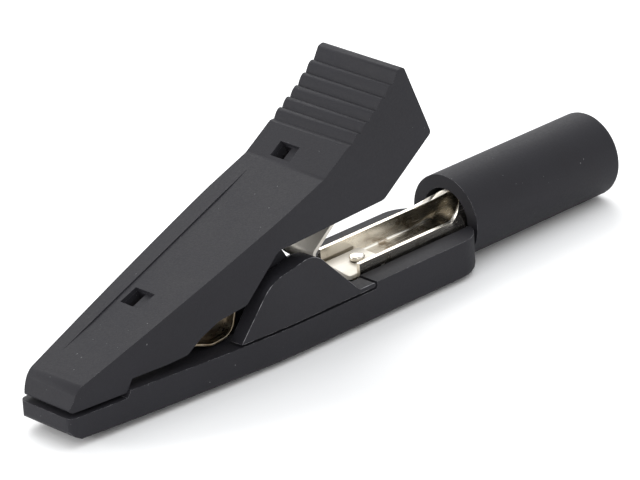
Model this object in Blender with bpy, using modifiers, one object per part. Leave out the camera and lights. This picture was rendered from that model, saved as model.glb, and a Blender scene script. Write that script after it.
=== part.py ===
"""Miniature insulated crocodile test clip with a 2 mm socket in its rear barrel.

World axes: +X runs from the jaw tips to the socket, +Z is up and Y is across.
The lowest line of the barrel lies on Z = 0 and X = 0 is half way along the clip.
Lengths below are millimetres; mm() turns them into metres.
"""
import math

import bmesh
import bpy
from mathutils import Matrix, Vector


def mm(value):
    return value * 0.001


# Overall sizes
CLIP_LENGTH = 41.85
BARREL_RADIUS = 2.5
TIP_HALF_WIDTH = 2.05
REAR_HALF_WIDTH = 3.22
LEVER_REAR_HALF_WIDTH = 3.08
LEVER_INSET = 0.15
PAD_TOP_HEIGHT = 14.14

# Walls and clearances
BODY_FLOOR = 1.15
BODY_WALL = 1.35
JAW_TROUGH_HALF = 1.2
LEVER_WALL = 0.75
LEVER_ROOF = 0.8
PART_GAP = 0.15
SHEET = 0.25
STRIP_SHEET = 0.15

# Lower body heights
RIM_HEIGHT = 2.46
UNDERSIDE = 0.17
SEAT_HEIGHT = 2.05
JAW_HEIGHT = 2.17
LIP_HEIGHT = 1.78
LIP_LENGTH = 3.7
TIP_RISE = 0.44
EDGE_ROUND = 0.45
REAR_CORNER = 1.9

# 2 mm socket
BORE_RADIUS = 1.42
MOUTH_BORE_RADIUS = 1.72
MOUTH_BORE_DEPTH = 2.6
PLUG_RADIUS = 1.02
SLEEVE_RECESS = 1.3
CHANNEL_LENGTH = 8.4
CHANNEL_HALF_WIDTH = 1.67
CHANNEL_LIP_HEIGHT = 3.0
CHANNEL_FLOOR_HEIGHT = 1.88

# Hinge: cheeks, pin and lugs
PIN_Z = 3.4
PIN_RADIUS = 0.45
PIN_CLEARANCE = 0.08
PIN_HALF_LENGTH = 2.75
CHEEK_INNER = 2.1
CHEEK_FOOT = 0.25
CHEEK_TOP = 5.56
LUG_INNER = 1.4
LUG_RADIUS = 0.95

# Leaf spring, rivet and jaw contact
SPRING_HALF_WIDTH = 1.25
SPRING_BEND = 0.35
RIVET_HEAD_RADIUS = 0.45
RIVET_SHANK_RADIUS = 0.22
CONTACT_HALF_WIDTH = 1.85

# Lever top: recessed panel, windows and thumb grooves
KINK_HEIGHT = 9.6
PAD_MIDDLE_HEIGHT = 12.12
NOSE_HEIGHT = 3.24
PANEL_DEPTH = 0.07
WINDOW_WIDTH = 1.5
RIB_COUNT = 5
RIB_PITCH = 0.64
RIB_RISE = 0.05
VALLEY_DEPTH = 0.2

# Places that follow from the sizes above
DRAWN_LENGTH = 41.85


def station(distance):
    """X of a place that is this far behind the jaw tips on a clip of the drawn length."""
    return (distance / DRAWN_LENGTH - 0.5) * CLIP_LENGTH


TIP_X = station(0)
BARREL_END_X = station(DRAWN_LENGTH)
MOUTH_X = station(30.0)
PIN_X = station(16.2)
KINK_X = station(18.05)
PAD_MIDDLE_X = station(21.9)
PAD_END_X = station(24.25)
AXIS_Z = BARREL_RADIUS
STEP_X = TIP_X + LIP_LENGTH
CHANNEL_X = MOUTH_X - CHANNEL_LENGTH
TROUGH_HALF_WIDTH = REAR_HALF_WIDTH - BODY_WALL
PIN_BORE_RADIUS = PIN_RADIUS + PIN_CLEARANCE
STEPS_IN_ARC = 8


def clear_scene():
    for old in list(bpy.data.objects):
        bpy.data.objects.remove(old, do_unlink=True)


def new_collection(name):
    made = bpy.data.collections.new(name)
    bpy.context.scene.collection.children.link(made)
    return made


def make_material(name, colour, roughness, metallic):
    made = bpy.data.materials.new(name)
    made.use_nodes = True
    shader = made.node_tree.nodes["Principled BSDF"]
    shader.inputs["Base Color"].default_value = (*colour, 1.0)
    shader.inputs["Roughness"].default_value = roughness
    shader.inputs["Metallic"].default_value = metallic
    return made


def smoothstep(low, high, value):
    t = min(max((value - low) / (high - low), 0.0), 1.0)
    return t * t * (3 - 2 * t)


def arc(centre, radius, start, end, steps=STEPS_IN_ARC):
    """Points on an arc, angles in degrees."""
    points = []
    for i in range(steps + 1):
        angle = math.radians(start + (end - start) * i / steps)
        points.append((centre[0] + radius * math.cos(angle), centre[1] + radius * math.sin(angle)))
    return points


def round_corners(corners, steps=7):
    """Turn (a, b, radius) corners of a closed outline into points with rounded corners."""
    points = []
    count = len(corners)
    for i, (a, b, radius) in enumerate(corners):
        here = Vector((a, b))
        if radius <= 0:
            points.append((a, b))
            continue
        before = (Vector(corners[i - 1][:2]) - here).normalized()
        after = (Vector(corners[(i + 1) % count][:2]) - here).normalized()
        half = before.angle(after) / 2
        reach = radius / math.tan(half)
        centre = here + (before + after).normalized() * (radius / math.sin(half))
        first = here + before * reach - centre
        last = here + after * reach - centre
        turn = first.angle_signed(last)
        for k in range(steps + 1):
            spoke = first.copy()
            spoke.rotate(Matrix.Rotation(-turn * k / steps, 2))
            points.append(tuple(centre + spoke))
    return points


def half_width(x):
    """Plan half-width of the clip: narrow at the jaw tips, full width from the hinge back."""
    spread = REAR_HALF_WIDTH + 0.23 - TIP_HALF_WIDTH
    t = min(max((x - TIP_X) / (CHANNEL_X - TIP_X), 0.0), 1.0)
    return min(TIP_HALF_WIDTH + spread * (1 - (1 - t) ** 1.55), REAR_HALF_WIDTH)


def link(made, collection, material=None):
    collection.objects.link(made)
    if material:
        made.data.materials.append(material)
    return made


def extruded_outline(name, points, low, high, plane):
    """A closed outline in the XZ or XY plane, extruded from low to high on the third axis."""
    curve = bpy.data.curves.new(name, "CURVE")
    curve.dimensions = "2D"
    curve.fill_mode = "BOTH"
    curve.extrude = mm(abs(high - low) / 2)
    spline = curve.splines.new("POLY")
    spline.points.add(len(points) - 1)
    for point, (a, b) in zip(spline.points, points):
        point.co = (mm(a), mm(b), 0, 1)
    spline.use_cyclic_u = True
    flat = bpy.data.objects.new(name, curve)
    bpy.context.scene.collection.objects.link(flat)
    if plane == "XZ":
        flat.rotation_euler = (math.pi / 2, 0, 0)
        flat.location = (0, mm((low + high) / 2), 0)
    else:
        flat.location = (0, 0, mm((low + high) / 2))
    bpy.context.view_layer.update()
    evaluated = flat.evaluated_get(bpy.context.evaluated_depsgraph_get())
    mesh = bpy.data.meshes.new_from_object(evaluated)
    mesh.transform(flat.matrix_world)
    bpy.data.objects.remove(flat, do_unlink=True)
    tidy_mesh(mesh)
    return bpy.data.objects.new(name, mesh)


def tidy_mesh(mesh):
    """Merge doubled corners and take out the edges that cross flat faces."""
    cage = bmesh.new()
    cage.from_mesh(mesh)
    bmesh.ops.remove_doubles(cage, verts=cage.verts, dist=0.000002)
    bmesh.ops.dissolve_limit(cage, angle_limit=math.radians(0.05), verts=cage.verts, edges=cage.edges)
    bmesh.ops.recalc_face_normals(cage, faces=cage.faces)
    cage.to_mesh(mesh)
    cage.free()


def cylinder(name, radius, low, high, centre, axis, segments=32, far_radius=None):
    """A cylinder or cone along X, Y or Z from low to high; centre holds the other two places."""
    mesh = bpy.data.meshes.new(name)
    cage = bmesh.new()
    end = radius if far_radius is None else far_radius
    bmesh.ops.create_cone(cage, cap_ends=True, segments=segments, radius1=mm(radius),
                          radius2=mm(end), depth=mm(high - low))
    middle = (low + high) / 2
    if axis == "X":
        turn = Matrix.Rotation(math.pi / 2, 4, "Y")
        place = (middle, centre[0], centre[1])
    elif axis == "Y":
        turn = Matrix.Rotation(-math.pi / 2, 4, "X")
        place = (centre[0], middle, centre[1])
    else:
        turn = Matrix.Identity(4)
        place = (centre[0], centre[1], middle)
    cage.transform(Matrix.Translation([mm(v) for v in place]) @ turn)
    cage.to_mesh(mesh)
    cage.free()
    return bpy.data.objects.new(name, mesh)


def combine(target, tool, operation):
    """Boolean with the exact solver, applied to the mesh; the tool goes to the cutters."""
    for item in (target, tool):
        if not item.users_collection:
            bpy.context.scene.collection.objects.link(item)
    step = target.modifiers.new(operation.lower(), "BOOLEAN")
    step.operation = operation
    step.solver = "EXACT"
    step.object = tool
    bpy.context.view_layer.update()
    evaluated = target.evaluated_get(bpy.context.evaluated_depsgraph_get())
    result = bpy.data.meshes.new_from_object(evaluated)
    target.modifiers.clear()
    old = target.data
    target.data = result
    bpy.data.meshes.remove(old)
    tidy_mesh(result)
    bpy.data.objects.remove(tool, do_unlink=True)


def finish(made, name, material, pivot=None):
    """Name the part, move its origin to the pivot and put it in the clip's collection."""
    for holder in list(made.users_collection):
        holder.objects.unlink(made)
    made.name = name
    made.data.name = name
    made.data.materials.clear()
    link(made, CLIP, material)
    if pivot:
        made.data.transform(Matrix.Translation([-mm(v) for v in pivot]))
        made.location = [mm(v) for v in pivot]
    made.data.shade_smooth()
    made.data.set_sharp_from_angle(angle=math.radians(35))
    return made


def plan_outline(inset, start, end, rear_corner):
    """Plan of the clip between two stations, inset from its sides."""
    stations = 14
    side = []
    for i in range(stations + 1):
        x = start + (end - start) * i / stations
        side.append((x, half_width(x) - inset))
    front_round = 0.45 if inset <= 0 else 0.1
    corners = [(side[0][0], -side[0][1], front_round)]
    corners += [(x, -w, 0) for x, w in side[1:-1]]
    corners += [(end, -side[-1][1], rear_corner), (end, side[-1][1], rear_corner)]
    corners += [(x, w, 0) for x, w in reversed(side[1:-1])]
    corners += [(side[0][0], side[0][1], front_round)]
    return round_corners(corners)


def round_low_edges(made, height, width):
    cage = bmesh.new()
    cage.from_mesh(made.data)
    low = [e for e in cage.edges if all(abs(v.co.z - mm(height)) < 1e-7 for v in e.verts)
           and len(e.link_faces) == 2 and any(abs(f.normal.z) < 0.5 for f in e.link_faces)]
    bmesh.ops.bevel(cage, geom=low, offset=mm(width), segments=3, profile=0.5, affect="EDGES")
    bmesh.ops.recalc_face_normals(cage, faces=cage.faces)
    cage.to_mesh(made.data)
    cage.free()


def make_lower_body(material):
    """Lower jaw, open trough and socket barrel in one moulding."""
    rear_x = MOUTH_X + 0.1
    body = extruded_outline("body", plan_outline(0, TIP_X, rear_x, REAR_CORNER), UNDERSIDE, RIM_HEIGHT, "XY")
    round_low_edges(body, UNDERSIDE, EDGE_ROUND)
    under = [(TIP_X - 1, -1), (TIP_X - 1, TIP_RISE + 1.0), (TIP_X, TIP_RISE + 0.6),
             (TIP_X + 0.2, TIP_RISE + 0.3), (TIP_X + 0.65, TIP_RISE + 0.05),
             (station(6), TIP_RISE * 0.93), (station(9.5), TIP_RISE * 0.84), (station(13), TIP_RISE * 0.66),
             (station(21.5), UNDERSIDE - 0.03), (station(21.5), -1)]
    combine(body, extruded_outline("under_cutter", under, -6, 6, "XZ"), "DIFFERENCE")

    above = RIM_HEIGHT + 1
    step_run = (JAW_HEIGHT - LIP_HEIGHT) * 0.65
    seat_end = CHANNEL_X - 0.2
    tail_round = (RIM_HEIGHT - SEAT_HEIGHT) / 2
    top = [(TIP_X - 1, above), (TIP_X - 1, LIP_HEIGHT), (STEP_X, LIP_HEIGHT),
           (STEP_X + step_run, JAW_HEIGHT), (station(11.3), SEAT_HEIGHT)]
    top += arc((seat_end - tail_round, SEAT_HEIGHT + tail_round), tail_round, -90, 0)
    top += [(seat_end, above)]
    combine(body, extruded_outline("top_cutter", top, -6, 6, "XZ"), "DIFFERENCE")

    pocket_half = CHEEK_INNER + CHEEK_FOOT + PART_GAP
    jaw_start = STEP_X + 1.4
    pocket_start = PIN_X - 3.9
    pocket_end = seat_end - 0.5
    trough = [(jaw_start, -JAW_TROUGH_HALF), (pocket_start, -JAW_TROUGH_HALF),
              (pocket_start, -pocket_half), (pocket_end, -pocket_half),
              (pocket_end, -TROUGH_HALF_WIDTH), (MOUTH_X, -TROUGH_HALF_WIDTH)]
    trough += [(x, -y) for x, y in reversed(trough)]
    combine(body, extruded_outline("trough_cutter", trough, BODY_FLOOR, above, "XY"), "DIFFERENCE")

    place = (0, AXIS_Z)
    barrel = cylinder("barrel", BARREL_RADIUS, MOUTH_X, BARREL_END_X, place, "X", 48)
    bevel_end(barrel, BARREL_END_X, 0.3)
    combine(body, barrel, "UNION")
    bore_out = BARREL_END_X + 1
    combine(body, cylinder("bore", BORE_RADIUS, MOUTH_X - 0.05, bore_out, place, "X", 40), "DIFFERENCE")
    mouth_end = MOUTH_X + MOUTH_BORE_DEPTH
    combine(body, cylinder("mouth", MOUTH_BORE_RADIUS, MOUTH_X - 2.4, mouth_end, place, "X", 40), "DIFFERENCE")
    return finish(body, "lower_body", material)


def bevel_end(made, x, width):
    cage = bmesh.new()
    cage.from_mesh(made.data)
    rim = [e for e in cage.edges if all(abs(v.co.x - mm(x)) < 1e-7 for v in e.verts)]
    bmesh.ops.bevel(cage, geom=rim, offset=mm(width), segments=2, profile=0.5, affect="EDGES")
    cage.to_mesh(made.data)
    cage.free()


def roof_height(x):
    """Height of the lever's outer top surface, front slope then thumb pad."""
    nose_x = TIP_X + 0.75
    marks = [(nose_x, NOSE_HEIGHT), (KINK_X, KINK_HEIGHT), (PAD_MIDDLE_X, PAD_MIDDLE_HEIGHT),
             (PAD_END_X, PAD_TOP_HEIGHT)]
    first = 0 if x < KINK_X else 1 if x < PAD_MIDDLE_X else 2
    (x0, z0), (x1, z1) = marks[first], marks[first + 1]
    return z0 + (z1 - z0) * (x - x0) / (x1 - x0)


def pad_ribs():
    """Rounded ribs across the thumb pad, from the top rear forwards; each one is a shallow arch."""
    points = []
    last = PAD_END_X - 0.75
    for i in range(RIB_COUNT):
        rear = last - i * RIB_PITCH
        for t in (0.0, 0.12, 0.3, 0.5, 0.7, 0.88):
            x = rear - t * RIB_PITCH
            arch = 1 - (2 * t - 1) ** 2
            points.append((x, roof_height(x) - VALLEY_DEPTH + (VALLEY_DEPTH + RIB_RISE) * arch, 0))
    front = last - RIB_COUNT * RIB_PITCH
    points.append((front, roof_height(front) - VALLEY_DEPTH, 0))
    points.append((front - 0.25, roof_height(front - 0.25), 0.1))
    return points


def lever_outline():
    """Side view of the lever: nose, jaw edge, finger opening, hinge arch and thumb pad."""
    jaw = JAW_HEIGHT + 0.55
    lip = LIP_HEIGHT + 0.25
    nose = TIP_X + 0.7
    return round_corners([
        (TIP_X + 0.08, lip, 0.1),
        (STEP_X + 0.1, lip, 0),
        (STEP_X + 0.5, jaw, 0),
        (station(6.6), jaw, 0),
        (station(7.9), jaw + 0.09, 0.5),
        (station(8.9), 3.5, 0.4),
        (station(10.1), 4.02, 0.5),
        (station(12.05), 4.3, 0.5),
        (station(14.45), 6.66, 0.6),
        (station(22.4), 6.95, 0.6),
        (station(26.22), 9.66, 0.25),
        (station(26.0), 10.26, 0),
        (PAD_END_X + 0.16, PAD_TOP_HEIGHT, 0.3),
        (PAD_END_X - 0.34, PAD_TOP_HEIGHT - 0.13, 0.25),
    ] + pad_ribs() + [
        (KINK_X, KINK_HEIGHT, 0.8),
        (nose, NOSE_HEIGHT, 0.35),
    ])


def lever_plan(inset, start, end):
    """Plan of the lever: it follows the body forward of the hinge and is narrower behind it."""
    def width(x):
        return min(half_width(x) - LEVER_INSET, LEVER_REAR_HALF_WIDTH) - inset

    stations = 14
    xs = [start + (end - start) * i / stations for i in range(stations + 1)]
    front_round = 0.5 if inset <= 0 else 0
    corners = [(xs[0], -width(xs[0]), front_round)]
    corners += [(x, -width(x), 0) for x in xs[1:]]
    corners += [(x, width(x), 0) for x in reversed(xs[1:])]
    corners += [(xs[0], width(xs[0]), front_round)]
    return round_corners(corners)


def lever_cavity():
    """Inside of the lever, open below."""
    roof_drop = LEVER_ROOF / math.cos(math.atan(0.3645))
    pad_drop = LEVER_ROOF / math.cos(math.atan(0.735))
    front = STEP_X + 0.1
    rear = PAD_END_X + 0.35
    inner = [(front, -2), (front, roof_height(front) - roof_drop),
             (KINK_X + 0.25, roof_height(KINK_X + 0.25) - pad_drop),
             (PAD_MIDDLE_X, roof_height(PAD_MIDDLE_X) - pad_drop),
             (rear - 0.7, roof_height(rear - 0.7) - pad_drop), (rear + 1.0, 9.9), (rear + 0.6, -2)]
    shape = extruded_outline("cavity", inner, -6, 6, "XZ")
    plan = extruded_outline("cavity_plan", lever_plan(LEVER_WALL, front - 1, rear + 2), -4, 20, "XY")
    combine(shape, plan, "INTERSECT")
    return shape


def make_lugs():
    """Two lugs that lean back from the roof to the pin."""
    roof = roof_height(PIN_X - 2) - 0.4
    flank = [(PIN_X - 2.9, roof - 0.3), (PIN_X - 2.4, PIN_Z + 2.9)]
    flank += arc((PIN_X, PIN_Z), LUG_RADIUS, 205, 380)
    flank += [(PIN_X - 0.75, PIN_Z + 3.0), (PIN_X - 0.9, roof + 0.3)]
    lugs = []
    for side in (-1, 1):
        low = min(side * LUG_INNER, side * (CHEEK_INNER - PART_GAP))
        high = max(side * LUG_INNER, side * (CHEEK_INNER - PART_GAP))
        lugs.append(extruded_outline("lug", flank, low, high, "XZ"))
    return lugs


def make_ribs():
    """Ribs under the roof: one that the spring pushes on, one behind the jaw contact."""
    leg = spring_leg_height
    low, high = station(21.5), station(23.8)
    rear = [(station(19.75), roof_height(station(19.75)) - 0.4), (low, leg(low) + 0.45),
            (high, leg(high) + 0.4), (high, roof_height(high) - 0.4)]
    a, b = station(6.4), station(11.6)
    front = [(a, roof_height(a) - 0.35), (a + 0.2, 4.3), (b - 0.3, 6.1), (b, roof_height(b) - 0.35)]
    return [extruded_outline("rear_rib", rear, -0.35, 0.35, "XZ"),
            extruded_outline("front_rib", front, -0.9, -0.3, "XZ")]


def spring_leg_height(x):
    """Middle line of the spring's upper leg, which runs up and back under the thumb pad."""
    return 4.45 + 0.817 * (x - station(18.55))


def make_upper_lever(material):
    """Lever with upper jaw, finger opening and grooved thumb pad."""
    lever = extruded_outline("lever", lever_outline(), -6, 6, "XZ")
    plan = extruded_outline("lever_plan", lever_plan(0, TIP_X + 0.02, station(27.5)), 0, 16, "XY")
    combine(lever, plan, "INTERSECT")
    combine(lever, lever_cavity(), "DIFFERENCE")
    for extra in make_lugs() + make_ribs():
        combine(lever, extra, "UNION")
    bore = cylinder("lug_bore", PIN_BORE_RADIUS, -4, 4, (PIN_X, PIN_Z), "Y", 24)
    combine(lever, limit_to(bore, CHEEK_INNER), "DIFFERENCE")
    for x, y, length in ((station(7.18), 0.3, 1.25), (station(18.75), 0.65, 1.0)):
        for cutter in window_cutters(x, y, length):
            combine(lever, cutter, "DIFFERENCE")
    combine(lever, panel_cutter(), "DIFFERENCE")
    return finish(lever, "upper_lever", material, (PIN_X, 0, PIN_Z))


def limit_to(made, half):
    made.data.transform(Matrix.Diagonal((1, half / 4, 1, 1)))
    return made


def roof_turn(x):
    """Rotation that lays a flat cutter on the roof at x."""
    slope = (roof_height(x + 0.01) - roof_height(x - 0.01)) / 0.02
    return Matrix.Rotation(-math.atan(slope), 4, "Y")


def box_on_roof(name, x, y, length, width, above, below):
    mesh = bpy.data.meshes.new(name)
    cage = bmesh.new()
    bmesh.ops.create_cube(cage, size=1.0)
    size = Matrix.Diagonal((mm(length), mm(width), mm(above + below), 1))
    lift = Matrix.Translation((0, 0, mm((above - below) / 2)))
    place = Matrix.Translation((mm(x), mm(y), mm(roof_height(x))))
    cage.transform(place @ roof_turn(x) @ lift @ size)
    cage.to_mesh(mesh)
    cage.free()
    return bpy.data.objects.new(name, mesh)


def window_cutters(x, y, length):
    """A window in the roof: open through its far half, with a sunk tongue in its near half."""
    half = WINDOW_WIDTH / 2
    return [box_on_roof("window", x, y, length, WINDOW_WIDTH, 1.0, 0.3),
            box_on_roof("window_slot", x, y + half / 2, length - 0.06, half - 0.06, 1.0, LEVER_ROOF + 0.3)]


def panel_cutter():
    """Long shallow panel on the front slope, wider towards the kink and fading out at both ends."""
    start = TIP_X + 2.4
    end = KINK_X - 0.3
    run = (end - start) / 5
    floor = []
    for i in range(6):
        x = start + i * run
        depth = PANEL_DEPTH if 0 < i < 5 else -0.02
        floor.append((x, roof_height(x) - depth))
    side = floor + [(end, roof_height(end) + 2), (start, roof_height(start) + 2)]
    panel = extruded_outline("panel", side, -4, 4, "XZ")
    points = [(start - 1, -1.2), (end + 1, -2.0), (end + 1, 2.0), (start - 1, 1.2)]
    combine(panel, extruded_outline("panel_plan", points, 0, 16, "XY"), "INTERSECT")
    return panel


def cheek_outline():
    """Side view of a hinge cheek: steep front, round top, straight rear slope and a low tail."""
    base = SEAT_HEIGHT + PART_GAP
    tail_end = CHANNEL_X - 0.2 - PART_GAP
    tail_round = (RIM_HEIGHT - base) / 2
    return round_corners([
        (station(11.4), base, 0),
        (tail_end, base, tail_round * 0.98),
        (tail_end, RIM_HEIGHT, tail_round * 0.98),
        (station(20.05), RIM_HEIGHT, 0),
        (station(16.9), CHEEK_TOP + 0.16, 1.6),
        (station(13.7), 5.1, 2.5),
    ])


def make_cheek(name, side, material):
    """One hinge cheek: its plate stands on the body's seat and its foot reaches down inside."""
    plate = extruded_outline("cheek", cheek_outline(), CHEEK_INNER, 5, "XZ")
    foot_low = BODY_FLOOR + PART_GAP
    foot_points = [(PIN_X - 3.6, foot_low), (CHANNEL_X - 0.95, foot_low),
                   (CHANNEL_X - 0.95, SEAT_HEIGHT + 0.4), (PIN_X - 3.6, SEAT_HEIGHT + 0.4)]
    foot = extruded_outline("foot", foot_points, CHEEK_INNER + 0.04, CHEEK_INNER + CHEEK_FOOT, "XZ")
    combine(plate, foot, "UNION")
    sides = extruded_outline("cheek_plan", plan_outline(0, TIP_X, MOUTH_X, REAR_CORNER), 0, 12, "XY")
    combine(plate, sides, "INTERSECT")
    blind = CHEEK_INNER + (PIN_HALF_LENGTH - CHEEK_INNER) + PART_GAP
    bore = cylinder("blind_bore", PIN_BORE_RADIUS, 0, blind, (PIN_X, PIN_Z), "Y", 24)
    combine(plate, bore, "DIFFERENCE")
    if side < 0:
        plate.data.transform(Matrix.Diagonal((1, -1, 1, 1)))
        tidy_mesh(plate.data)
    return finish(plate, name, material)


def make_pivot_pin(material):
    pin = cylinder("pin", PIN_RADIUS, -PIN_HALF_LENGTH, PIN_HALF_LENGTH, (PIN_X, PIN_Z), "Y", 24)
    return finish(pin, "pivot_pin", material)


def contact_section(x):
    """Middle line of the socket contact's sheet at x: a flat-floored channel that rolls into a tube."""
    mouth_radius = MOUTH_BORE_RADIUS - PART_GAP - SHEET / 2
    count = 32
    middle = CHANNEL_HALF_WIDTH - SHEET / 2
    floor = CHANNEL_FLOOR_HEIGHT - SHEET / 2
    wall = CHANNEL_LIP_HEIGHT - floor
    total = 2 * (wall + middle)
    narrowed = smoothstep(MOUTH_X + 0.5, MOUTH_X + 2.2, x)
    radius = mouth_radius + (PLUG_RADIUS + SHEET / 2 - mouth_radius) * narrowed
    rolled = smoothstep(MOUTH_X - 1.9, MOUTH_X + 0.2, x)
    points = []
    for i in range(count + 1):
        t = i / count
        run = t * total
        if run < wall:
            flat = (-middle, CHANNEL_LIP_HEIGHT - run)
        elif run < wall + 2 * middle:
            flat = (-middle + run - wall, floor)
        else:
            flat = (middle, floor + run - wall - 2 * middle)
        angle = math.radians(-90 + (t - 0.5) * 2 * 168)
        tube = (radius * math.cos(angle), AXIS_Z + radius * math.sin(angle))
        points.append((flat[0] + (tube[0] - flat[0]) * rolled, flat[1] + (tube[1] - flat[1]) * rolled))
    return points


def make_socket_contact(material):
    """Open channel in the trough, rolled into the 2 mm socket sleeve inside the barrel."""
    end = BARREL_END_X - SLEEVE_RECESS
    stations = [CHANNEL_X, MOUTH_X - 2.0]
    stations += [MOUTH_X - 1.9 + 2.1 * i / 8 for i in range(1, 9)]
    stations += [MOUTH_X + 0.5 + 1.7 * i / 6 for i in range(7)]
    stations += [end]
    mesh = bpy.data.meshes.new("contact")
    cage = bmesh.new()
    rows = []
    for x in stations:
        rows.append([cage.verts.new((mm(x), mm(y), mm(z))) for y, z in contact_section(x)])
    for first, second in zip(rows, rows[1:]):
        for i in range(len(first) - 1):
            cage.faces.new((first[i], second[i], second[i + 1], first[i + 1]))
    bmesh.ops.recalc_face_normals(cage, faces=cage.faces)
    cage.to_mesh(mesh)
    cage.free()
    contact = bpy.data.objects.new("contact", mesh)
    thicken(contact, SHEET)
    hole = cylinder("rivet_hole", RIVET_SHANK_RADIUS + PART_GAP, 0, 2.0, (rivet_x(), 0), "Z", 20)
    combine(contact, hole, "DIFFERENCE")
    return finish(contact, "socket_contact", material)


def thicken(made, thickness):
    if not made.users_collection:
        bpy.context.scene.collection.objects.link(made)
    step = made.modifiers.new("sheet", "SOLIDIFY")
    step.thickness = mm(thickness)
    step.offset = 0
    step.use_even_offset = True
    bpy.context.view_layer.update()
    evaluated = made.evaluated_get(bpy.context.evaluated_depsgraph_get())
    result = bpy.data.meshes.new_from_object(evaluated)
    made.modifiers.clear()
    made.data = result
    tidy_mesh(result)


def strip(name, path, half, thickness):
    """A bent sheet strip: a path in XZ drawn across Y, then given its thickness."""
    mesh = bpy.data.meshes.new(name)
    cage = bmesh.new()
    near = [cage.verts.new((mm(x), mm(-half), mm(z))) for x, z in path]
    edges = [cage.edges.new(pair) for pair in zip(near, near[1:])]
    drawn = bmesh.ops.extrude_edge_only(cage, edges=edges)
    far = [item for item in drawn["geom"] if isinstance(item, bmesh.types.BMVert)]
    bmesh.ops.translate(cage, verts=far, vec=(0, mm(2 * half), 0))
    bmesh.ops.recalc_face_normals(cage, faces=cage.faces)
    cage.to_mesh(mesh)
    cage.free()
    made = bpy.data.objects.new(name, mesh)
    thicken(made, thickness)
    return made


def bent_path(corners, steps=6):
    """An open path with rounded bends; corners are (x, z, radius)."""
    closed = round_corners([(corners[0][0], corners[0][1], 0)] + corners[1:-1]
                           + [(corners[-1][0], corners[-1][1], 0)], steps)
    return closed


def rivet_x():
    return CHANNEL_X + 1.4


def make_leaf_spring(material):
    """V-shaped leaf spring: tail riveted in the channel, ramp to the hinge, leg under the thumb pad."""
    tail = CHANNEL_FLOOR_HEIGHT + PART_GAP + SHEET / 2
    ramp_foot = CHANNEL_X - 0.45
    vertex = (station(18.45), 4.36)
    leg_end = station(23.7)
    path = bent_path([
        (rivet_x() + 1.3, tail, 0),
        (ramp_foot, tail, 0.5),
        (*vertex, SPRING_BEND),
        (leg_end, spring_leg_height(leg_end) - 0.1, 0),
    ])
    spring = strip("spring", path, SPRING_HALF_WIDTH, SHEET)
    hole = cylinder("rivet_hole", RIVET_SHANK_RADIUS + PART_GAP, 0, 3, (rivet_x(), 0), "Z", 20)
    combine(spring, hole, "DIFFERENCE")
    return finish(spring, "leaf_spring", material)


def make_spring_rivet(material):
    """Rivet that holds the spring's tail to the channel floor."""
    upper = CHANNEL_FLOOR_HEIGHT + PART_GAP + SHEET + 0.1
    lower = CHANNEL_FLOOR_HEIGHT - SHEET - 0.1
    place = (rivet_x(), 0)
    rivet = cylinder("rivet", RIVET_SHANK_RADIUS, lower - 0.1, upper + 0.1, place, "Z", 20)
    head = cylinder("head", RIVET_HEAD_RADIUS, upper, upper + 0.22, place, "Z", 24, RIVET_HEAD_RADIUS * 0.7)
    combine(rivet, head, "UNION")
    tail = cylinder("tail", RIVET_HEAD_RADIUS * 0.8, lower - 0.2, lower, place, "Z", 24, RIVET_HEAD_RADIUS)
    combine(rivet, tail, "UNION")
    return finish(rivet, "spring_rivet", material)


def make_jaw_contact(material):
    """Thin contact strip inside the upper jaw that curls up behind the finger opening."""
    high = JAW_HEIGHT + 0.72
    path = bent_path([
        (STEP_X + 0.35, high, 0),
        (station(8.2), high, 1.2),
        (station(10.3), 2.27, 1.4),
        (station(11.85), 2.38, 0.9),
        (station(12.25), 4.1, 0.6),
        (station(11.5), 5.4, 0),
    ])
    made = strip("jaw_strip", path, CONTACT_HALF_WIDTH, STRIP_SHEET)
    plan = lever_plan(LEVER_WALL + 0.12, STEP_X, station(14))
    combine(made, extruded_outline("strip_plan", plan, 0, 8, "XY"), "INTERSECT")
    return finish(made, "jaw_contact", material, (PIN_X, 0, PIN_Z))


clear_scene()
CLIP = new_collection("test_clip")
BODY_BLACK = make_material("body_black", (0.041, 0.041, 0.047), 0.62, 0.0)
LEVER_BLACK = make_material("lever_black", (0.043, 0.043, 0.049), 0.62, 0.0)
CHEEK_BLACK = make_material("cheek_black", (0.043, 0.043, 0.047), 0.6, 0.0)
NICKEL = make_material("nickel_sheet", (0.74, 0.72, 0.68), 0.22, 1.0)
SPRING_STEEL = make_material("spring_steel", (0.72, 0.7, 0.66), 0.28, 1.0)
PIN_STEEL = make_material("pin_steel", (0.55, 0.55, 0.56), 0.3, 1.0)

make_lower_body(BODY_BLACK)
make_upper_lever(LEVER_BLACK)
make_cheek("hinge_cheek_near", -1, CHEEK_BLACK)
make_cheek("hinge_cheek_far", 1, CHEEK_BLACK)
make_pivot_pin(PIN_STEEL)
make_socket_contact(NICKEL)
make_leaf_spring(SPRING_STEEL)
make_spring_rivet(NICKEL)
make_jaw_contact(NICKEL)
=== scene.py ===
import math

import bpy
from mathutils import Matrix, Vector


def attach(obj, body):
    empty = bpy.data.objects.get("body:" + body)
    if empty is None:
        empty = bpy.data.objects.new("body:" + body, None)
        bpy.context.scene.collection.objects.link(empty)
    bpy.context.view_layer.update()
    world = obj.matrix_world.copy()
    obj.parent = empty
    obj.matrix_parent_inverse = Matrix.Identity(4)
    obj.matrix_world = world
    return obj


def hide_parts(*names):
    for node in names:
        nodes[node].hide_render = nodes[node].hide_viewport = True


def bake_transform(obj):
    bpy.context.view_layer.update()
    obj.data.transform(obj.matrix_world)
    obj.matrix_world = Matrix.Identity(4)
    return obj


# A small insulated crocodile test clip. Lengths below are millimetres; mm() gives metres.
# +X runs from the jaw tips to the socket, +Z is up, and -Y is the near side.
# Most places along the clip are given as the distance behind the jaw tips.


def mm(value):
    return value * 0.001


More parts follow.
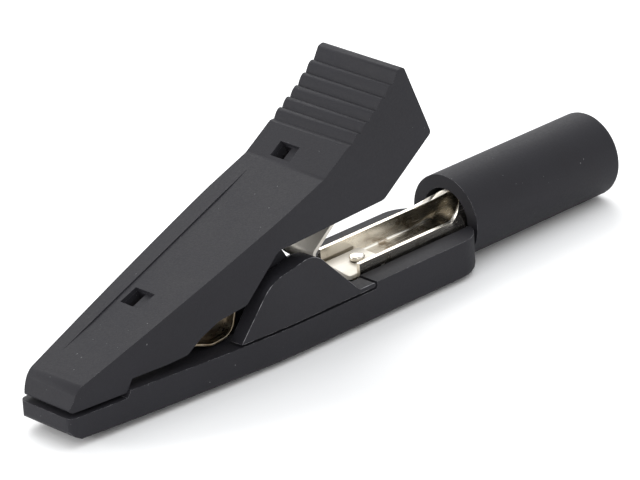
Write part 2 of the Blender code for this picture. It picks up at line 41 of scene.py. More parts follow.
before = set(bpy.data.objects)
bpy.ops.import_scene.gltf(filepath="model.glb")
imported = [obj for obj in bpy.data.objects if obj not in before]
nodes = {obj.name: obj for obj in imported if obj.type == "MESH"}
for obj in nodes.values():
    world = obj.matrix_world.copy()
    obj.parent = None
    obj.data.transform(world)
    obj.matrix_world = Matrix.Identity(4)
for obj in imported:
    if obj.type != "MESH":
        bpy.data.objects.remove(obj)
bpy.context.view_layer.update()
print("frame loaded:", ", ".join(sorted(nodes)))

clip = {
    "length": 41.85,
    "tipHalfWidth": 2.05,
    "rearHalfWidth": 3.22,
    "mouth": 30.0,          # front face of the barrel's ring
    "channelStart": 21.6,
    "pin": 16.2,
    "pinHeight": 3.4,
    "pinBore": 0.53,
    "rivet": 23.0,
    "rivetHole": 0.37,
    "barrelRadius": 2.5,
    "axisHeight": 2.5,
    "planBulge": 0.23,      # the sides would swing this far past full width; they are cut off there
    "planCurve": 1.55,
}


def at(distance):
    return distance - clip["length"] / 2


tipX = at(0)
mouthX = at(clip["mouth"])
channelX = at(clip["channelStart"])
pinX = at(clip["pin"])
pinZ = clip["pinHeight"]
rivetX = at(clip["rivet"])
axisZ = clip["axisHeight"]


def deselectAll():
    bpy.ops.object.select_all(action="DESELECT")


def pick(piece):
    deselectAll()
    piece.select_set(True)
    bpy.context.view_layer.objects.active = piece


def applyModifier(piece, kind, **settings):
    pick(piece)
    step = piece.modifiers.new(kind.lower(), kind)
    for name, value in settings.items():
        setattr(step, name, value)
    bpy.ops.object.modifier_apply(modifier=step.name)


def arcPoints(centre, radius, start, end, steps=8):
    turns = [math.radians(start + (end - start) * i / steps) for i in range(steps + 1)]
    return [(centre[0] + radius * math.cos(t), centre[1] + radius * math.sin(t)) for t in turns]


def roundCorners(corners, steps=8):
    # (a, b, radius) corners of a closed outline become points with rounded corners
    points = []
    for i, (a, b, radius) in enumerate(corners):
        here = Vector((a, b))
        if radius <= 0:
            points.append((a, b))
            continue
        before = (Vector(corners[i - 1][:2]) - here).normalized()
        after = (Vector(corners[(i + 1) % len(corners)][:2]) - here).normalized()
        half = before.angle(after) / 2
        centre = here + (before + after).normalized() * (radius / math.sin(half))
        first = here + before * (radius / math.tan(half)) - centre
        last = here + after * (radius / math.tan(half)) - centre
        turn = first.angle_signed(last)
        for k in range(steps + 1):
            points.append(tuple(centre + Matrix.Rotation(-turn * k / steps, 2) @ first))
    return points


def plate(name, points, low, high, across):
    # a flat outline filled and pulled out along Y (a side view) or along Z (a plan)
    deselectAll()
    bpy.ops.mesh.primitive_circle_add(vertices=len(points), radius=mm(1), fill_type="NGON")
    piece = bpy.context.active_object
    piece.name = name
    for vert, (a, b) in zip(piece.data.vertices, points):
        vert.co = (mm(a), mm(low), mm(b)) if across == "Y" else (mm(a), mm(b), mm(low))
    bpy.ops.object.mode_set(mode="EDIT")
    bpy.ops.mesh.select_all(action="SELECT")
    pull = (0, mm(high - low), 0) if across == "Y" else (0, 0, mm(high - low))
    bpy.ops.mesh.extrude_region_move(TRANSFORM_OT_translate={"value": pull})
    bpy.ops.mesh.select_all(action="SELECT")
    bpy.ops.mesh.normals_make_consistent(inside=False)
    bpy.ops.object.mode_set(mode="OBJECT")
    return piece


def rod(name, radius, start, end, centre, axis, sides=48):
    # a cylinder from start to end along an axis; centre holds its place on the other two axes
    middle = (start + end) / 2
    spots = {"X": (middle, *centre), "Y": (centre[0], middle, centre[1]), "Z": (*centre, middle)}
    turns = {"X": (0, math.pi / 2, 0), "Y": (math.pi / 2, 0, 0), "Z": (0, 0, 0)}
    deselectAll()
    bpy.ops.mesh.primitive_cylinder_add(vertices=sides, radius=mm(radius), depth=mm(end - start),
                                        location=[mm(v) for v in spots[axis]], rotation=turns[axis])
    piece = bpy.context.active_object
    piece.name = name
    bpy.ops.object.transform_apply(location=True, rotation=True, scale=True)
    return piece


def shapeWith(piece, tool, operation="DIFFERENCE"):
    applyModifier(piece, "BOOLEAN", operation=operation, solver="EXACT", object=tool)
    bpy.data.objects.remove(tool, do_unlink=True)
    mergeFlat(piece)


def mergeFlat(piece):
    pick(piece)
    bpy.ops.object.mode_set(mode="EDIT")
    bpy.ops.mesh.select_all(action="SELECT")
    bpy.ops.mesh.remove_doubles(threshold=mm(0.0015))
    bpy.ops.mesh.dissolve_limited(angle_limit=math.radians(0.1))
    bpy.ops.object.mode_set(mode="OBJECT")


def selectEdges(piece, test):
    # edges whose two ends both pass the test, given in millimetres
    pick(piece)
    bpy.ops.object.mode_set(mode="EDIT")
    bpy.ops.mesh.select_all(action="DESELECT")
    bpy.ops.object.mode_set(mode="OBJECT")
    verts = piece.data.vertices
    for edge in piece.data.edges:
        edge.select = all(test(*(verts[i].co * 1000)) for i in edge.vertices)
    bpy.ops.object.mode_set(mode="EDIT")
    bpy.ops.mesh.select_mode(type="EDGE")


def bevelEdges(piece, test, width, segments=4):
    selectEdges(piece, test)
    bpy.ops.mesh.bevel(offset=mm(width), segments=segments, affect="EDGES", clamp_overlap=True)
    bpy.ops.object.mode_set(mode="OBJECT")


def softenEdges(piece, width, edgeHighlight=-1):
    # edgeHighlight is the slot that the new faces along the edges get; their material paints a pale highlight
    # on them
    applyModifier(piece, "BEVEL", width=mm(width), segments=2, limit_method="ANGLE",
                  angle_limit=math.radians(40), use_clamp_overlap=True, miter_outer="MITER_ARC",
                  loop_slide=True, material=edgeHighlight)
    pick(piece)
    bpy.ops.object.shade_smooth()
    applyModifier(piece, "WEIGHTED_NORMAL", keep_sharp=True, weight=60)


def dress(piece, *materials):
    # first the piece's own material, then the one of its edges, which paints a pale highlight on them
    for material in materials:
        piece.data.materials.append(material)


def finishPiece(piece, body, cadNode):
    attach(piece, body)
    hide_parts(cadNode)


def finishMoulding(piece, plastic, body, cadNode):
    piece.data.materials.clear()
    # the bevelled edges get a material with a painted highlight
    dress(piece, plastic, highlightEdgePlastic)
    softenEdges(piece, 0.06, edgeHighlight=1)
    finishPiece(piece, body, cadNode)


def halfWidth(x):
    # plan half-width of the clip: narrow at the jaw tips, full width from the channel back
    t = min(max((x - tipX) / (channelX - tipX), 0.0), 1.0)
    narrow, full = clip["tipHalfWidth"], clip["rearHalfWidth"]
    bulge = (full + clip["planBulge"] - narrow) * (1 - (1 - t) ** clip["planCurve"])
    return min(narrow + bulge, full)


def planPoints(start, end, width, frontRound, rearRound):
    # a plan outline from start to end, with its half-width given by a function
    stations = [start + (end - start) * i / 18 for i in range(1, 18)]
    stations = [x for x in stations if x < end - rearRound - 0.1]
    near = [(x, -width(x), 0) for x in stations]
    far = [(x, width(x), 0) for x in reversed(stations)]
    corners = [(start, -width(start), frontRound)] + near
    corners += [(end, -width(end), rearRound), (end, width(end), rearRound)] + far
    corners += [(start, width(start), frontRound)]
    return roundCorners(corners)


class Wire:
    # a socket that can be used in sums; the nodes are added as they are needed
    def __init__(self, tree, socket=None):
        self.tree = tree
        self.socket = socket

    def node(self, kind, settings=None, out=0, **sockets):
        made = self.tree.nodes.new("ShaderNode" + kind)
        for name, value in (settings or {}).items():
            setattr(made, name, value)
        for name, value in sockets.items():
            spot = int(name[1:]) if name[1:].isdigit() else name.replace("_", " ")
            if isinstance(value, Wire):
                self.tree.links.new(value.socket, made.inputs[spot])
            else:
                made.inputs[spot].default_value = value
        return Wire(self.tree, made.outputs[out])

    def maths(self, operation, first, second):
        return self.node("Math", {"operation": operation}, i0=first, i1=second)

    def __add__(self, other):
        return self.maths("ADD", self, other)

    def __radd__(self, other):
        return self.maths("ADD", other, self)

    def __sub__(self, other):
        return self.maths("SUBTRACT", self, other)

    def __rsub__(self, other):
        return self.maths("SUBTRACT", other, self)

    def __mul__(self, other):
        return self.maths("MULTIPLY", self, other)

    def __rmul__(self, other):
        return self.maths("MULTIPLY", other, self)

    def above(self, level, width):
        # 0 below the level and 1 above it, with a soft edge
        return self.node("MapRange", {"interpolation_type": "SMOOTHSTEP"}, Value=self,
                         From_Min=level - width, From_Max=level + width)

    def tint(self, low, high):
        # a colour that goes from low to high as this value goes from 0 to 1
        return self.node("Mix", {"data_type": "RGBA"}, out=2, i0=self, i6=low, i7=high)

    def noise(self, place, scale, detail=2.0, roughness=0.5):
        return self.node("TexNoise", Vector=place, Scale=scale, Detail=detail, Roughness=roughness)


def rgb(red, green, blue):
    # a colour as a screen shows it, 0 to 255, in Blender's linear values
    def linear(c):
        c = c / 255
        return c / 12.92 if c <= 0.04045 else ((c + 0.055) / 1.055) ** 2.4
    return (linear(red), linear(green), linear(blue), 1)


def newMaterial(name, **constants):
    made = bpy.data.materials.new(name)
    made.use_nodes = True
    shader = made.node_tree.nodes["Principled BSDF"]
    for socket, value in constants.items():
        shader.inputs[socket.replace("_", " ")].default_value = value
    return made, Wire(made.node_tree), shader


def plug(wire, shader, socket):
    wire.tree.links.new(wire.socket, shader.inputs[socket])


plasticLook = {
    "deep": rgb(30, 29, 33),
    "pale": rgb(41, 41, 46),
    # pale edge colour: a painted highlight, laid on bevelled edges in patches
    "edgeHighlight": rgb(176, 176, 180),
    "speck": rgb(120, 120, 122),
    "grainSize": 0.13,      # of the spark-eroded mould surface
    "roughness": 0.62,
}


def makePlastic(name, look, gloss=0.0, seed=0.0, highlightShare=0.0):
    # fine grain on a cloudy tone with specks of dust; highlightShare paints a pale highlight on edges in
    # patches
    made, w, shader = newMaterial(name, IOR=1.3)
    place = w.node("Mapping", Vector=w.node("TexCoord", out=3), Location=(seed, seed, 0))
    grain = w.noise(place, 1 / mm(look["grainSize"]), 3, 0.6)
    cloud = w.noise(place, 320, 4, 0.6)
    dust = w.noise(place, 6500, 0.5, 0.4).above(0.835, 0.008)
    highlightPatches = w.noise(place, 1700, 3, 0.7).above(0.5, 0.12)
    colour = (cloud * 0.9 + grain * 0.5 - 0.4).tint(look["deep"], look["pale"])
    # painted highlight: pale patches where a share is set
    if highlightShare:
        colour = (highlightPatches * highlightShare).tint(colour, look["edgeHighlight"])
    colour = (dust * 0.55).tint(colour, look["speck"])
    plug(colour, shader, "Base Color")
    plug(look["roughness"] - gloss + (grain - 0.5) * 0.3 + (cloud - 0.5) * 0.15, shader, "Roughness")
    bump = w.node("Bump", Strength=0.45, Distance=mm(0.02), Height=grain)
    plug(bump, shader, "Normal")
    return made


metalLook = {
    "streak": (500, 9000, 9000),
    "bright": rgb(232, 228, 220),
    "warm": rgb(208, 200, 184),
    "stain": rgb(138, 120, 96),
    "roughness": 0.22,
}
# a darker, browner copy of the sheet colours: painted dark reflection
darkReflectionLook = {**metalLook, "bright": rgb(190, 180, 160), "warm": rgb(140, 124, 98)}


def makeMetal(name, look, stainLevel=0.62, rough=0.0, seed=0.0, **constants):
    # rolled sheet: streaks along X, a cloudy tone and a few stained pits
    made, w, shader = newMaterial(name, **{"Metallic": 1.0, **constants})
    place = w.node("Mapping", Vector=w.node("TexCoord", out=3), Location=(seed, seed, seed))
    streaks = w.noise(w.node("Mapping", Vector=place, Scale=look["streak"]), 1.0, 3, 0.6)
    cloud = w.noise(place, 650, 3, 0.55)
    pits = w.noise(place, 3400, 2, 0.5)
    colour = (cloud * 0.9 + streaks * 0.4 - 0.3).tint(look["bright"], look["warm"])
    stained = cloud.above(stainLevel, 0.05) * pits.above(0.45, 0.2) * 0.8
    plug(stained.tint(colour, look["stain"]), shader, "Base Color")
    plug(look["roughness"] + rough + (streaks - 0.5) * 0.3 + (cloud - 0.5) * 0.15, shader, "Roughness")
    bump = w.node("Bump", Strength=0.25, Distance=mm(0.01), Height=streaks * 0.6 + pits * 0.4)
    plug(bump, shader, "Normal")
    return made


bodyPlastic = makePlastic("bodyPlastic", plasticLook)
leverPlastic = makePlastic("leverPlastic", plasticLook, seed=3.1)
cheekPlastic = makePlastic("cheekPlastic", plasticLook, gloss=0.03, seed=5.7)
# plastic for bevelled edges: its pale patches are a painted highlight
highlightEdgePlastic = makePlastic("highlightEdgePlastic", plasticLook, gloss=0.05, seed=1.9, highlightShare=0.9)
nickelSheet = makeMetal("nickelSheet", metalLook)
springStrip = makeMetal("springStrip", metalLook, stainLevel=0.85, rough=0.25, seed=1.3, Metallic=0.3)
# jaw contact's strip: darker colours paint its dark reflection; its stain patches are more common
darkReflectionStrip = makeMetal("darkReflectionStrip", darkReflectionLook, stainLevel=0.4, rough=0.1, seed=2.2)
pinSteel = makeMetal("pinSteel", metalLook, stainLevel=0.9, rough=0.1, seed=4.0)
print("materials made")


lever = {
    "jawEdge": 2.72,
    "lipEdge": 2.03,
    "noseBehind": 0.7,
    "noseHeight": 3.24,
    "kink": 18.05,
    "kinkHeight": 9.6,
    "padMiddle": 21.9,
    "padMiddleHeight": 12.12,
    "padEnd": 24.25,
    "padHeight": 14.14,
    "halfWidth": 3.08,
    "inset": 0.15,          # of its sides from the body's
    "wall": 0.75,
    "roof": 0.8,
    "ribs": 5,
    "ribsBehindEnd": 0.75,
    "ribPitch": 0.64,
    "valleyDepth": 0.2,
    "ribRise": 0.05,
    "panelDepth": 0.06,
    "windows": ((7.18, 0.3, 1.25, 1.5), (18.75, 0.65, 1.0, 1.5)),   # place, across, length, width
}


def roofHeight(x):
    marks = [(at(0.75), lever["noseHeight"]), (at(lever["kink"]), lever["kinkHeight"]),
             (at(lever["padMiddle"]), lever["padMiddleHeight"]),
             (at(lever["padEnd"]), lever["padHeight"])]
    first = sum(x >= mark[0] for mark in marks[1:3])
    (x0, z0), (x1, z1) = marks[first], marks[first + 1]
    return z0 + (z1 - z0) * (x - x0) / (x1 - x0)


def leverSide():
    jaw, lip = lever["jawEdge"], lever["lipEdge"]
    under = [(at(0.08), lip, 0.15), (at(3.8), lip, 0.08), (at(4.2), jaw, 0.1), (at(6.6), jaw, 0.3),
             (at(7.9), jaw + 0.09, 0.5), (at(8.9), 3.5, 0.4), (at(10.1), 4.02, 0.5),
             (at(12.05), 4.3, 0.5), (at(14.45), 6.66, 0.7), (at(22.4), 6.95, 0.7),
             (at(26.22), 9.66, 0.25), (at(26.0), 10.26, 0), (at(24.41), lever["padHeight"], 0.3),
             (at(23.91), lever["padHeight"] - 0.13, 0.25)]
    ribs = []
    ribsEnd = at(lever["padEnd"]) - lever["ribsBehindEnd"]
    for i in range(lever["ribs"]):
        rear = ribsEnd - i * lever["ribPitch"]
        for k in range(10):
            x = rear - k / 10 * lever["ribPitch"]
            arch = math.sin(math.pi * k / 10) ** 0.8
            lift = -lever["valleyDepth"] + (lever["valleyDepth"] + lever["ribRise"]) * arch
            ribs.append((x, roofHeight(x) + lift, 0))
    front = ribsEnd - lever["ribs"] * lever["ribPitch"]
    ribs.append((front, roofHeight(front) - lever["valleyDepth"], 0))
    ribs.append((front - 0.3, roofHeight(front - 0.3), 0.15))
    top = [(at(lever["kink"]), lever["kinkHeight"], 1.0),
           (at(lever["noseBehind"]), lever["noseHeight"], 1.0)]
    return roundCorners(under + ribs + top)


def leverWidth(inset):
    return lambda x: min(halfWidth(x) - lever["inset"], lever["halfWidth"]) - inset


def leverHollow():
    front, rear = at(3.9), at(24.6)
    drop, padDrop = lever["roof"] * 1.065, lever["roof"] * 1.25    # the roof leans, so it drops further
    side = [(front, -2), (front, roofHeight(front) - drop)]
    side += [(x, roofHeight(x) - padDrop) for x in (at(18.3), at(lever["padMiddle"]), rear - 0.7)]
    side += [(rear + 1.0, 9.9), (rear + 0.6, -2)]
    hollow = plate("hollow", side, -6, 6, "Y")
    plan = planPoints(front - 1, rear + 2, leverWidth(lever["wall"]), 0, 0)
    shapeWith(hollow, plate("hollowPlan", plan, -4, 20, "Z"), "INTERSECT")
    return hollow


def boxOnRoof(name, x, across, length, width, above, below):
    # a block that lies on the sloping roof and reaches below it
    slope = math.atan((roofHeight(x + 0.01) - roofHeight(x - 0.01)) / 0.02)
    lift = (above - below) / 2
    deselectAll()
    bpy.ops.mesh.primitive_cube_add(size=1)
    block = bpy.context.active_object
    block.name = name
    block.scale = (mm(length), mm(width), mm(above + below))
    block.rotation_euler = (0, -slope, 0)
    block.location = (mm(x - math.sin(slope) * lift), mm(across), mm(roofHeight(x) + math.cos(slope) * lift))
    bpy.ops.object.transform_apply(location=True, rotation=True, scale=True)
    return block


def panelCutter():
    start, end = at(2.4), at(17.75)
    run = (end - start) / 6
    depths = [-0.02] + [lever["panelDepth"]] * 5 + [-0.02]
    side = [(start + i * run, roofHeight(start + i * run) - depth) for i, depth in enumerate(depths)]
    side += [(end, roofHeight(end) + 2), (start, roofHeight(start) + 2)]
    panel = plate("panel", side, -4, 4, "Y")
    plan = [(start - 1, -1.2), (end + 1, -2.0), (end + 1, 2.0), (start - 1, 1.2)]
    shapeWith(panel, plate("panelPlan", plan, 0, 16, "Z"), "INTERSECT")
    return panel


def leverLugs():
    # two lugs lean back from the roof to the pin
    roof = roofHeight(pinX - 2) - 0.4
    side = [(pinX - 2.9, roof - 0.3), (pinX - 2.4, pinZ + 2.9)]
    side += arcPoints((pinX, pinZ), 0.95, 205, 380, 14)
    side += [(pinX - 0.75, pinZ + 3.0), (pinX - 0.9, roof + 0.3)]
    return [plate("lug", side, low, high, "Y") for low, high in ((-1.95, -1.4), (1.4, 1.95))]


def innerRibs():
    # one rests on the spring's upper leg, the other stiffens the front of the roof
    def leg(x):
        return 4.45 + 0.817 * (x - at(18.55))

    low, high = at(21.5), at(23.8)
    rear = [(at(19.75), roofHeight(at(19.75)) - 0.4), (low, leg(low) + 0.45),
            (high, leg(high) + 0.4), (high, roofHeight(high) - 0.4)]
    a, b = at(6.4), at(11.6)
    front = [(a, roofHeight(a) - 0.35), (a + 0.2, 4.3), (b - 0.3, 6.1), (b, roofHeight(b) - 0.35)]
    return [plate("rearRib", rear, -0.35, 0.35, "Y"), plate("frontRib", front, -0.9, -0.3, "Y")]


def makeLever():
    piece = plate("upperLever", leverSide(), -6, 6, "Y")
    plan = planPoints(at(0.02), at(27.5), leverWidth(0), 0.55, 0)
    shapeWith(piece, plate("leverPlan", plan, 0, 16, "Z"), "INTERSECT")
    rearLine = ((at(26.0), 10.26), (at(24.5), 13.92))

    def onRearCorner(x, y, z):
        (x0, z0), (x1, z1) = rearLine
        away = abs((z1 - z0) * (x - x0) - (x1 - x0) * (z - z0)) / math.hypot(x1 - x0, z1 - z0)
        return abs(y) > 3.0 and away < 0.16 and z > 9.9

    bevelEdges(piece, onRearCorner, 0.45, 5)
    shapeWith(piece, leverHollow())
    for extra in leverLugs() + innerRibs():
        shapeWith(piece, extra, "UNION")
    shapeWith(piece, rod("lugBore", clip["pinBore"], -2.02, 2.02, (pinX, pinZ), "Y", 32))
    for place, across, length, width in lever["windows"]:
        shapeWith(piece, boxOnRoof("window", at(place), across, length, width, 1, 0.3))
        slot = (across + width / 4, length - 0.06, width / 2 - 0.06)    # the deeper half, through the roof
        shapeWith(piece, boxOnRoof("slot", at(place), *slot, 1, lever["roof"] + 0.3))
    shapeWith(piece, panelCutter())
    finishMoulding(piece, leverPlastic, "lever", "upper_lever")


makeLever()
print("upper lever made")


body = {
    "floor": 1.15,
    "rim": 2.46,
    "seat": 2.05,
    "jaw": 2.17,
    "lip": 1.78,
    "lipLength": 3.7,
    "underside": 0.17,      # the barrel's lowest line is at 0
    "tipRise": 0.44,
    "troughHalfWidth": 1.87,
    "pocketHalfWidth": 2.5,
    "jawTroughHalf": 1.2,
    "rearCorner": 1.9,
    "barrelEnd": 41.85,
    "mouthBore": 1.72,
    "bore": 1.42,
}


def makeBody():
    rearX = mouthX + 0.1
    plan = planPoints(tipX, rearX, halfWidth, 0.45, body["rearCorner"])
    piece = plate("lowerBody", plan, body["underside"], body["rim"], "Z")
    rise = body["tipRise"]
    bevelEdges(piece, lambda x, y, z: z < body["underside"] + 0.01, 0.45, 4)
    under = [(at(-1), -1), (at(-1), rise + 1.0), (at(0), rise + 0.6), (at(0.2), rise + 0.3),
             (at(0.65), rise + 0.05), (at(6), rise * 0.93), (at(9.5), rise * 0.84), (at(13), rise * 0.66),
             (at(21.5), body["underside"] - 0.03), (at(21.5), -1)]
    shapeWith(piece, plate("under", under, -6, 6, "Y"))
    above = body["rim"] + 1
    seatEnd = channelX - 0.2
    tailRound = (body["rim"] - body["seat"]) / 2
    stepX = at(body["lipLength"])
    top = [(at(-1), above), (at(-1), body["lip"]), (stepX, body["lip"]),
           (stepX + 0.25, body["jaw"]), (at(11.3), body["seat"])]
    top += arcPoints((seatEnd - tailRound, body["seat"] + tailRound), tailRound, -90, 0)
    top += [(seatEnd, above)]
    shapeWith(piece, plate("top", top, -6, 6, "Y"))
    half, pocket, jawHalf = body["troughHalfWidth"], body["pocketHalfWidth"], body["jawTroughHalf"]
    trough = [(at(5.1), -jawHalf), (pinX - 3.9, -jawHalf), (pinX - 3.9, -pocket),
              (seatEnd - 0.5, -pocket), (seatEnd - 0.5, -half), (mouthX, -half)]
    trough += [(x, -y) for x, y in reversed(trough)]
    shapeWith(piece, plate("trough", trough, body["floor"], above, "Z"))
    barrel = rod("barrel", clip["barrelRadius"], mouthX, at(body["barrelEnd"]), (0, axisZ), "X", 96)
    endX = at(body["barrelEnd"])
    bevelEdges(barrel, lambda x, y, z: x > endX - 0.01, 0.34, 5)
    shapeWith(piece, barrel, "UNION")
    shapeWith(piece, rod("bore", body["bore"], mouthX - 0.05, endX + 1, (0, axisZ), "X", 64))
    shapeWith(piece, rod("mouth", body["mouthBore"], mouthX - 2.4, mouthX + 2.6, (0, axisZ), "X", 64))
    finishMoulding(piece, bodyPlastic, "body", "lower_body")


makeBody()
print("lower body made")


cheek = {"base": 2.2, "inner": 2.1, "foot": 0.25, "footLow": 1.3, "rim": 2.46, "crest": 5.72}


def makeCheek(name, side, node):
    tailEnd = channelX - 0.35
    tailRound = (cheek["rim"] - cheek["base"]) / 2 * 0.98
    outline = roundCorners([
        (at(11.4), cheek["base"], 0), (tailEnd, cheek["base"], tailRound), (tailEnd, cheek["rim"], tailRound),
        (at(20.05), cheek["rim"], 0.3), (at(16.9), cheek["crest"], 1.6), (at(13.7), 5.1, 2.5)], 10)
    low, high = sorted((side * cheek["inner"], side * 5))
    piece = plate(name, outline, low, high, "Y")
    footPlan = [(pinX - 3.6, cheek["footLow"]), (channelX - 0.95, cheek["footLow"]),
                (channelX - 0.95, 2.45), (pinX - 3.6, 2.45)]
    low, high = sorted((side * (cheek["inner"] + 0.04), side * (cheek["inner"] + cheek["foot"])))
    shapeWith(piece, plate("foot", footPlan, low, high, "Y"), "UNION")
    plan = planPoints(tipX, mouthX, halfWidth, 0, body["rearCorner"])
    shapeWith(piece, plate("cheekPlan", plan, 0, 12, "Z"), "INTERSECT")
    low, high = sorted((0, side * 2.9))
    shapeWith(piece, rod("blindBore", clip["pinBore"], low, high, (pinX, pinZ), "Y", 32))
    finishMoulding(piece, cheekPlastic, "body", node)


makeCheek("hingeCheekNear", -1, "hinge_cheek_near")
makeCheek("hingeCheekFar", 1, "hinge_cheek_far")
print("hinge cheeks made")


sheet = {
    "thickness": 0.25,
    "halfWidth": 1.67,
    "lip": 3.0,
    "floor": 1.88,
    "plugRadius": 1.02,
    "recess": 1.3,
}


def smoothstep(low, high, value):
    t = min(max((value - low) / (high - low), 0.0), 1.0)
    return t * t * (3 - 2 * t)


def mix(a, b, t):
    return a + (b - a) * t


def gridPiece(name, rows):
    # a sheet of quads through rows of points, from a grid whose corners are moved into place
    deselectAll()
    bpy.ops.mesh.primitive_grid_add(x_subdivisions=len(rows[0]) - 1, y_subdivisions=len(rows) - 1,
                                    size=mm(1))
    piece = bpy.context.active_object
    piece.name = name
    points = [p for row in rows for p in row]
    for vert, p in zip(piece.data.vertices, points):
        vert.co = [mm(v) for v in p]
    return piece


def thicken(piece, thickness):
    applyModifier(piece, "SOLIDIFY", thickness=mm(thickness), offset=0, use_even_offset=True)


def channelSection(x, count=64):
    # middle line of the sheet at x: a flat-floored channel that rolls into a tube and then narrows
    half = sheet["halfWidth"] - sheet["thickness"] / 2
    floor = sheet["floor"] - sheet["thickness"] / 2
    corner = 0.3
    outline = [(-half, sheet["lip"]), (-half, floor + corner)]
    outline += arcPoints((-half + corner, floor + corner), corner, 180, 270, 6)[1:]
    outline += arcPoints((half - corner, floor + corner), corner, 270, 360, 6)
    outline += [(half, sheet["lip"])]
    lengths = [0]
    for a, b in zip(outline, outline[1:]):
        lengths.append(lengths[-1] + math.dist(a, b))
    mouthRadius = body["mouthBore"] - 0.15 - sheet["thickness"] / 2
    radius = mix(mouthRadius, sheet["plugRadius"] + sheet["thickness"] / 2,
                 smoothstep(mouthX + 0.5, mouthX + 2.2, x))
    rolled = smoothstep(mouthX - 1.3, mouthX + 1.5, x)
    bead = smoothstep(mouthX - 6.3, mouthX - 5.7, x) * (1 - smoothstep(mouthX - 1.6, mouthX - 0.8, x))
    points = []
    for i in range(count + 1):
        run = i / count * lengths[-1]
        k = max(j for j in range(len(lengths) - 1) if lengths[j] <= run + 1e-9)
        t = (run - lengths[k]) / (lengths[k + 1] - lengths[k])
        flat = (mix(outline[k][0], outline[k + 1][0], t), mix(outline[k][1], outline[k + 1][1], t))
        angle = math.radians(-90 + (i / count - 0.5) * 336)
        tube = (radius * math.cos(angle), axisZ + radius * math.sin(angle))
        ridge = 0.11 * bead * math.exp(-(flat[0] / 0.16) ** 2) * (flat[1] < floor + corner)
        points.append((x, mix(flat[0], tube[0], rolled), mix(flat[1] + ridge, tube[1], rolled)))
    return points


def makeSocketContact():
    stations = [channelX + i * 0.8 for i in range(9)] + [mouthX - 1.9 + 0.15 * i for i in range(15)]
    stations += [mouthX + 0.5 + 0.2 * i for i in range(9)] + [at(body["barrelEnd"] - sheet["recess"])]
    piece = gridPiece("socketContact", [channelSection(x) for x in stations])
    thicken(piece, sheet["thickness"])
    shapeWith(piece, rod("rivetHole", clip["rivetHole"], 1, 2.4, (rivetX, 0), "Z", 32))
    softenEdges(piece, 0.04)
    dress(piece, nickelSheet)
    finishPiece(piece, "body", "socket_contact")


def bentPath(corners, steps=8):
    # an open path in side view with rounded bends between its two plain ends
    return roundCorners([(*corners[0], 0), *corners[1:-1], (*corners[-1], 0)], steps)


def stripPiece(name, path, width, thickness, lanes=6):
    rows = []
    for x, z in path:
        rows.append([(x, mix(-width(x), width(x), k / lanes), z) for k in range(lanes + 1)])
    piece = gridPiece(name, rows)
    thicken(piece, thickness)
    return piece


spring = {"halfWidth": 1.25, "thickness": 0.25, "tailHeight": 2.155, "bend": 0.35}


def makeLeafSpring():
    corners = [(rivetX + 1.3, spring["tailHeight"]), (channelX - 0.45, spring["tailHeight"], 0.5),
               (at(18.45), 4.36, spring["bend"]), (at(23.7), 8.557)]
    piece = stripPiece("leafSpring", bentPath(corners), lambda x: spring["halfWidth"], spring["thickness"])
    shapeWith(piece, rod("rivetHole", clip["rivetHole"], 1, 3, (rivetX, 0), "Z", 32))
    softenEdges(piece, 0.04)
    dress(piece, springStrip)
    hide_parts("leaf_spring")
    mm(at(18.6))
    mm(4.4)
    mm(at(23.0))
    mm(8.0)
    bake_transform(piece)


rivet = {
    "shaft": 0.22,
    "run": (1.43, 2.5),
    "heads": ((2.38, 2.62, 0.45, 2.62), (1.33, 1.53, 0.42, 1.33)),   # low, high, radius, rounded end
    "dome": 0.12,
}


def makeRivet():
    # a domed head above the spring's tail and an upset end below the channel's floor
    piece = rod("springRivet", rivet["shaft"], *rivet["run"], (rivetX, 0), "Z", 32)
    for low, high, radius, rounded in rivet["heads"]:
        head = rod("head", radius, low, high, (rivetX, 0), "Z", 32)
        bevelEdges(head, lambda x, y, z: abs(z - rounded) < 0.01, rivet["dome"], 4)
        shapeWith(piece, head, "UNION")
    softenEdges(piece, 0.02)
    dress(piece, nickelSheet)
    finishPiece(piece, "body", "spring_rivet")


jawStrip = {"halfWidth": 1.85, "thickness": 0.15, "height": 3.02}


def makeJawContact():
    def width(x):
        return min(jawStrip["halfWidth"], halfWidth(x) - lever["wall"] - 0.12)
    corners = [(at(4.05), jawStrip["height"]), (at(8.2), jawStrip["height"], 1.2), (at(10.3), 2.27, 1.4),
               (at(11.85), 2.38, 0.9), (at(12.25), 4.1, 0.6), (at(11.5), 5.4)]
    piece = stripPiece("jawContact", bentPath(corners, 10), width, jawStrip["thickness"])
    softenEdges(piece, 0.03)
    # its darker metal paints the dark reflection on its hollow face
    dress(piece, darkReflectionStrip)
    finishPiece(piece, "lever", "jaw_contact")


makeSocketContact()
makeLeafSpring()
makeRivet()
makeJawContact()
nodes["pivot_pin"].data.materials.clear()
nodes["pivot_pin"].data.materials.append(pinSteel)
print("metal pieces made")


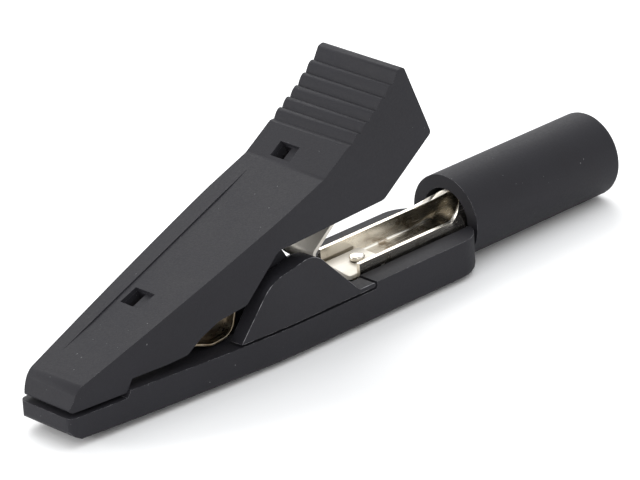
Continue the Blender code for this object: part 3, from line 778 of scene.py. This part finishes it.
studio = {
    "floorSize": 1.6,
    "floorColour": rgb(252, 252, 252),
    "worldColour": (1.0, 1.0, 1.0, 1.0),
    "worldStrength": 1.0,
    "lights": (     # name, azimuth, elevation, metres away, size, watts, colour
        ("frontLight", -60, 38, 0.5, (0.4, 0.3), 0.3, (1, 1, 1)),
        ("topLight", 60, 75, 0.5, (0.5, 0.5), 0.45, (0.85, 0.92, 1.0)),
        ("lowLight", 225, 17, 0.5, (0.2, 0.12), 0.8, (1, 1, 1)),
        ("backLight", 150, 40, 0.5, (0.4, 0.3), 1.2, (1, 1, 1)),
    ),
    "camera": {"azimuth": -42.67, "elevation": 23.66, "roll": -3.63, "distance": 261.0, "lens": 266.0},
    "target": (0.675, 1.4, 3.6),
}


def makeFloor():
    deselectAll()
    bpy.ops.mesh.primitive_plane_add(size=studio["floorSize"], location=(0, 0, 0))
    floor = bpy.context.active_object
    floor.name = "studioFloor"
    made = newMaterial("studioFloor", Roughness=0.7, Base_Color=studio["floorColour"])[0]
    floor.data.materials.append(made)


def backDirection(azimuth, elevation):
    a, e = math.radians(azimuth), math.radians(elevation)
    return Vector((math.sin(a) * math.cos(e), -math.cos(a) * math.cos(e), math.sin(e)))


def addSoftbox(name, azimuth, elevation, distance, size, power, colour):
    light = bpy.data.lights.new(name, "AREA")
    light.shape = "RECTANGLE"
    light.size, light.size_y = size
    light.energy = power
    light.color = colour
    box = bpy.data.objects.new(name, light)
    bpy.context.scene.collection.objects.link(box)
    back = backDirection(azimuth, elevation)
    box.location = back * distance
    box.rotation_euler = (-back).to_track_quat("-Z", "Y").to_euler()


def makeCamera():
    view = studio["camera"]
    data = bpy.data.cameras.new("camera")
    data.lens = view["lens"]
    data.sensor_width = 36.0
    data.clip_start, data.clip_end = 0.01, 10.0
    camera = bpy.data.objects.new("camera", data)
    bpy.context.scene.collection.objects.link(camera)
    back = backDirection(view["azimuth"], view["elevation"])
    target = Vector([mm(v) for v in studio["target"]])
    turn = (-back).to_track_quat("-Z", "Y").to_matrix().to_4x4()
    roll = Matrix.Rotation(math.radians(view["roll"]), 4, "Z")
    camera.matrix_world = Matrix.Translation(target + back * mm(view["distance"])) @ turn @ roll
    bpy.context.scene.camera = camera


makeFloor()
world = bpy.data.worlds.new("studio")
world.use_nodes = True
world.node_tree.nodes["Background"].inputs["Color"].default_value = studio["worldColour"]
world.node_tree.nodes["Background"].inputs["Strength"].default_value = studio["worldStrength"]
bpy.context.scene.world = world
bpy.context.scene.view_settings.view_transform = "Standard"
for light in studio["lights"]:
    addSoftbox(*light)
makeCamera()
print("studio ready")
